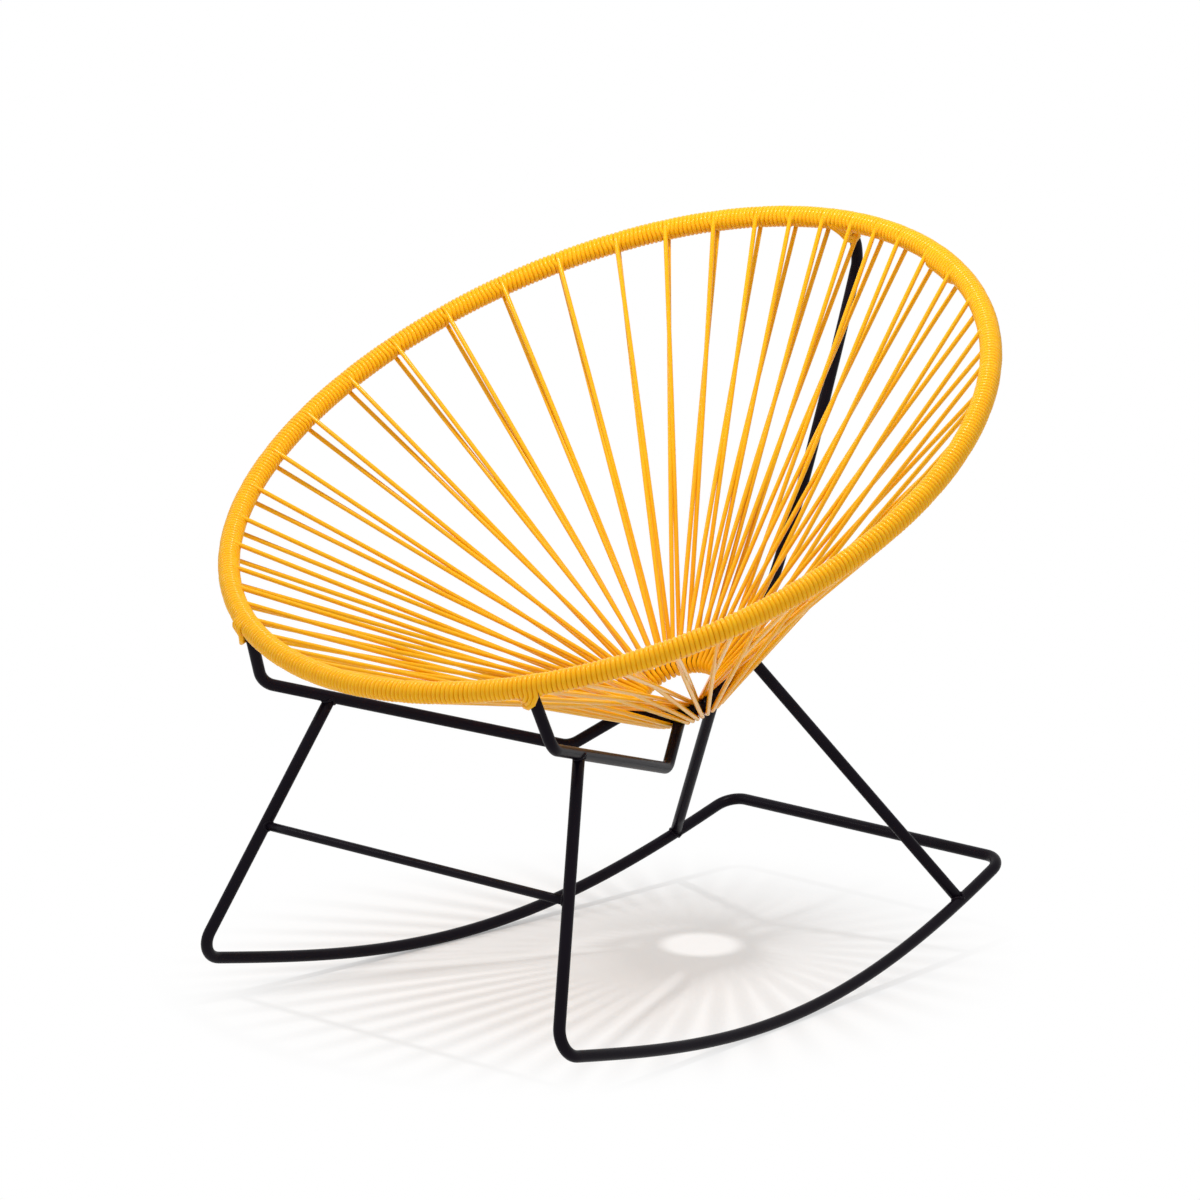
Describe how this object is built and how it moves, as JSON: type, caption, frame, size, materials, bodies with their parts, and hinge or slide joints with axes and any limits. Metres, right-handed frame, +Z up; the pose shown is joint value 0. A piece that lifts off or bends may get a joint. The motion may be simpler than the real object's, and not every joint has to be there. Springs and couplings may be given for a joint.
{
  "type": "round rocking lounge chair",
  "caption": "Round rocking lounge chair with a black bent-tube frame and a conical seat laced with yellow plastic cord over a cord-wrapped rim.",
  "frame": {"origin": "on the floor, under the middle of the chair's overall box", "axes": "+Z up, the sitter faces -Y, +X on the sitter's left"},
  "size_m": [0.8559, 0.8182, 0.7924],
  "materials": {
    "black_steel": "semi-gloss black paint",
    "yellow_cord": "smooth golden yellow vinyl cord"
  },
  "bodies": {
    "root": {"rim_hoop": "black_steel", "seat_ring": "black_steel", "seat_bar_left": "black_steel", "seat_bar_right": "black_steel", "back_bar": "black_steel", "rear_strut_left": "black_steel", "rear_strut_right": "black_steel", "front_leg_left": "black_steel", "front_leg_right": "black_steel", "runner_left": "black_steel", "runner_right": "black_steel", "rear_crossbar": "black_steel", "front_stretcher": "black_steel", "cord_span_01": "yellow_cord", "cord_span_02": "yellow_cord", "cord_span_03": "yellow_cord", "cord_span_04": "yellow_cord", "cord_span_05": "yellow_cord", "cord_span_06": "yellow_cord", "cord_span_07": "yellow_cord", "cord_span_08": "yellow_cord", "cord_span_09": "yellow_cord", "cord_span_10": "yellow_cord", "cord_span_11": "yellow_cord", "cord_span_12": "yellow_cord"}
  },
  "joints": []
}
